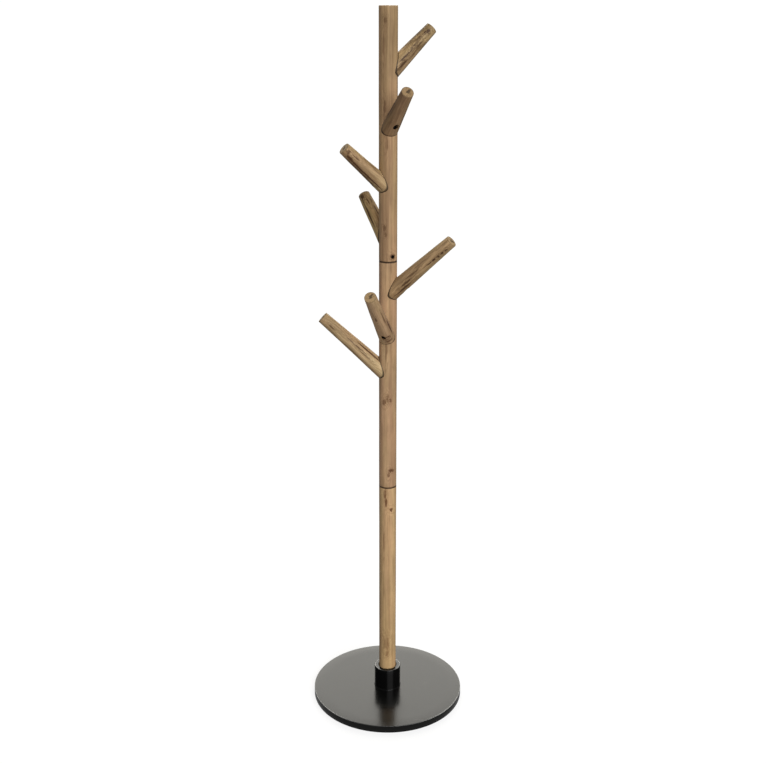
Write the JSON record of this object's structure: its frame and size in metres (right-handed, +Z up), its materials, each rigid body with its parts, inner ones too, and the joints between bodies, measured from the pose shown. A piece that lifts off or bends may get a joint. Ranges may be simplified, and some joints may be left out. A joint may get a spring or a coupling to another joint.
{
  "type": "standing coat rack",
  "caption": "Free-standing coat rack: a slim round wooden pole in screwed sections with angled tapered pegs, in a collar on a round black weighted base.",
  "frame": {"origin": "on the floor, on the pole's axis, at the middle of the round base", "axes": "+Z up along the pole, -Y towards the front from which the rack was seen, +X to its right"},
  "size_m": [0.377, 0.377, 1.6998],
  "materials": {
    "pole_wood": "oiled, satin, with vertical grain and small knots",
    "peg_wood": "oiled, satin, strongly figured",
    "base_coat": "smooth black powder coat, semi-gloss",
    "collar_coat": "black powder coat, semi-gloss",
    "plate_paint": "matt black paint",
    "cement": "cast, rough",
    "pad_rubber": "matt",
    "zinc_steel": "zinc plated",
    "insert_brass": "machined",
    "screw_black": "blackened"
  },
  "bodies": {
    "base": {"base_pan": "base_coat", "ballast_disc": "cement", "bottom_plate": "plate_paint", "foot_pad_1": "pad_rubber", "foot_pad_2": "pad_rubber", "foot_pad_3": "pad_rubber", "foot_pad_4": "pad_rubber", "foot_pad_5": "pad_rubber", "foot_pad_6": "pad_rubber", "socket_collar": "collar_coat", "base_washer": "zinc_steel"},
    "lower_bolt": {"base_bolt": "zinc_steel"},
    "lower_pole": {"pole_lower": "pole_wood", "insert_lower": "insert_brass", "lock_screw_lower": "screw_black"},
    "middle_stud": {"stud_middle": "zinc_steel"},
    "middle_pole": {"pole_middle": "pole_wood", "insert_middle": "insert_brass", "lock_screw_middle": "screw_black", "peg_5": "peg_wood", "peg_5_screw": "screw_black", "peg_6": "peg_wood", "peg_6_screw": "screw_black", "peg_7": "peg_wood", "peg_7_screw": "screw_black"},
    "upper_stud": {"stud_upper": "zinc_steel"},
    "upper_pole": {"pole_upper": "pole_wood", "insert_upper": "insert_brass", "lock_screw_upper": "screw_black", "peg_1": "peg_wood", "peg_1_screw": "screw_black", "peg_2": "peg_wood", "peg_2_screw": "screw_black", "peg_3": "peg_wood", "peg_3_screw": "screw_black", "peg_4": "peg_wood", "peg_4_screw": "screw_black"}
  },
  "joints": [
    {"name": "lower_pole_unscrew", "type": "hinge", "parent": "base", "child": "lower_bolt", "pos_m": [0, 0, 0.02], "axis": [0, 0, 1], "range_deg": [0, 4080]},
    {"name": "lower_pole_rise", "type": "slide", "parent": "lower_bolt", "child": "lower_pole", "axis": [0, 0, 1], "range_m": [0, 0.017]},
    {"name": "middle_pole_unscrew", "type": "hinge", "parent": "lower_pole", "child": "middle_stud", "pos_m": [0, 0, 0.58], "axis": [0, 0, 1], "range_deg": [0, 4080]},
    {"name": "middle_pole_rise", "type": "slide", "parent": "middle_stud", "child": "middle_pole", "axis": [0, 0, 1], "range_m": [0, 0.017]},
    {"name": "upper_pole_unscrew", "type": "hinge", "parent": "middle_pole", "child": "upper_stud", "pos_m": [0, 0, 1.14], "axis": [0, 0, 1], "range_deg": [0, 4080]},
    {"name": "upper_pole_rise", "type": "slide", "parent": "upper_stud", "child": "upper_pole", "axis": [0, 0, 1], "range_m": [0, 0.017]}
  ],
  "couplings": [
    {"joint": "lower_pole_rise", "follows": "lower_pole_unscrew", "m_per_rad": 0.00023873},
    {"joint": "middle_pole_rise", "follows": "middle_pole_unscrew", "m_per_rad": 0.00023873},
    {"joint": "upper_pole_rise", "follows": "upper_pole_unscrew", "m_per_rad": 0.00023873}
  ]
}
